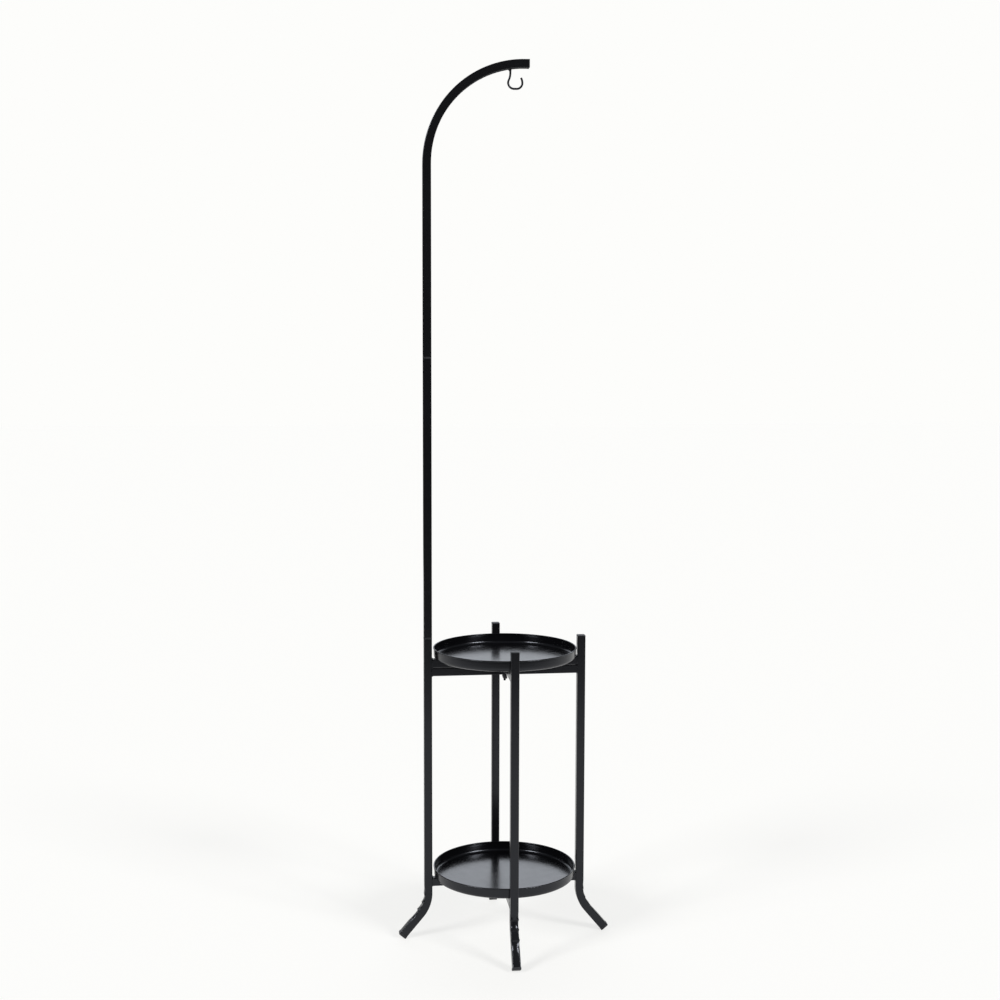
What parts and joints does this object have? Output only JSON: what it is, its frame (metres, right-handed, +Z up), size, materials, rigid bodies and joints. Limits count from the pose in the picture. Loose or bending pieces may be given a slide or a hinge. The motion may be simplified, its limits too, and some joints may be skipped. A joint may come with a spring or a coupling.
{
  "type": "hanging plant stand",
  "caption": "Black steel plant stand: crossed square-tube frames with bent-out feet, round dished trays, and a plug-in pole that bends over into an arm with a hook.",
  "frame": {"origin": "on the floor under the middle of the stand, midway between the four feet", "axes": "+Z up; -X towards the leg that carries the pole, +X the way the arm reaches; -Y towards the front leg"},
  "size_m": [0.423, 0.4008, 1.7183],
  "materials": {
    "frame_coat": "satin black powder coat",
    "tray_coat": "satin black powder coat on pressed sheet",
    "plug_plastic": "black moulded plastic",
    "washer_nylon": "black nylon",
    "bolt_steel": "dark zinc plated"
  },
  "bodies": {
    "pole_frame": {"leg_left": "frame_coat", "leg_right": "frame_coat", "bar_upper_side": "frame_coat", "bar_lower_side": "frame_coat", "seat_left": "frame_coat", "seat_right": "frame_coat", "foot_cap_left": "plug_plastic", "foot_cap_right": "plug_plastic", "leg_cap_right": "plug_plastic", "pivot_washer": "bolt_steel"},
    "cross_frame": {"leg_front": "frame_coat", "leg_back": "frame_coat", "bar_upper_cross": "frame_coat", "seat_front": "frame_coat", "seat_back": "frame_coat", "foot_cap_front": "plug_plastic", "foot_cap_back": "plug_plastic", "leg_cap_front": "plug_plastic", "leg_cap_back": "plug_plastic", "pivot_bolt": "bolt_steel", "pivot_spacer": "washer_nylon"},
    "wing_nut": {"wing_nut": "bolt_steel"},
    "upper_tray": {"tray_upper": "tray_coat"},
    "lower_tray": {"tray_lower": "tray_coat"},
    "pole": {"pole_tube": "frame_coat", "plug_lower": "plug_plastic"},
    "arm": {"pole_arm": "frame_coat", "plug_upper": "plug_plastic", "arm_cap": "plug_plastic", "hook": "frame_coat"}
  },
  "joints": [
    {"name": "fold", "type": "hinge", "parent": "pole_frame", "child": "cross_frame", "pos_m": [0, 0, 0.548], "axis": [0, 0, 1], "range_deg": [-78, 78]},
    {"name": "wing_nut_turn", "type": "hinge", "parent": "cross_frame", "child": "wing_nut", "pos_m": [0, 0, 0.5315], "axis": [0, 0, 1], "continuous": true},
    {"name": "upper_tray_lift", "type": "slide", "parent": "pole_frame", "child": "upper_tray", "axis": [0, 0, 1], "range_m": [0, 0.08]},
    {"name": "lower_tray_lift", "type": "slide", "parent": "pole_frame", "child": "lower_tray", "axis": [0, 0, 1], "range_m": [0, 0.1]},
    {"name": "pole_lift", "type": "slide", "parent": "pole_frame", "child": "pole", "axis": [0, 0, 1], "range_m": [0, 0.04]},
    {"name": "arm_lift", "type": "slide", "parent": "pole", "child": "arm", "axis": [0, 0, 1], "range_m": [0, 0.04]}
  ]
}
